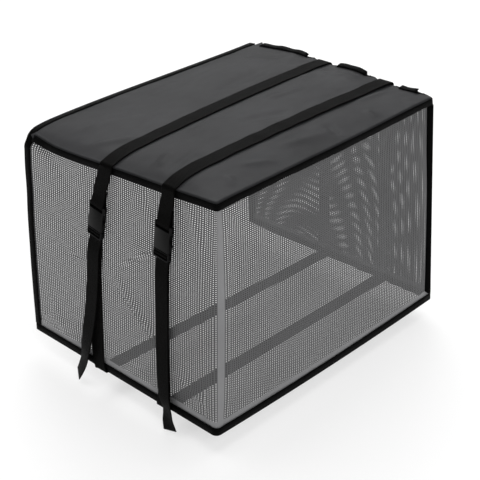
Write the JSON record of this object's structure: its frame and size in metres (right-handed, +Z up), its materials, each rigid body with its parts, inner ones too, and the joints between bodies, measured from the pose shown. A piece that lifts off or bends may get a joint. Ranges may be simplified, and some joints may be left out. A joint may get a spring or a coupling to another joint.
{
  "type": "air conditioner cover",
  "caption": "Outdoor cover for a window air conditioner: coated cloth top, sheer net sides, bound edges, open back and bottom, and webbing belts with side-release buckles.",
  "frame": {"origin": "under the middle of the top panel, on the face that the covered unit holds up", "axes": "+Z up, +Y towards the open back at the window, -X towards the wall with the buckles"},
  "size_m": [0.5545, 0.4257, 0.4157],
  "materials": {
    "coated_cloth": "dark grey coated woven cloth, soft sheen",
    "net": "grey coated mesh with small open holes, matte",
    "binding": "black woven tape, matte",
    "webbing": "black woven webbing, matte",
    "buckle_plastic": "black moulded plastic, satin"
  },
  "bodies": {
    "root": {"top_panel": "coated_cloth", "net_left_front": "net", "net_right": "net", "seam_tape_top": "binding", "seam_tape_corner": "binding", "hem_tape": "binding", "edge_tape_back": "binding", "strap_rear": "webbing", "buckle_rear_female": "buckle_plastic", "buckle_rear_male": "buckle_plastic", "strap_front": "webbing", "buckle_front_female": "buckle_plastic", "buckle_front_male": "buckle_plastic"}
  },
  "joints": []
}
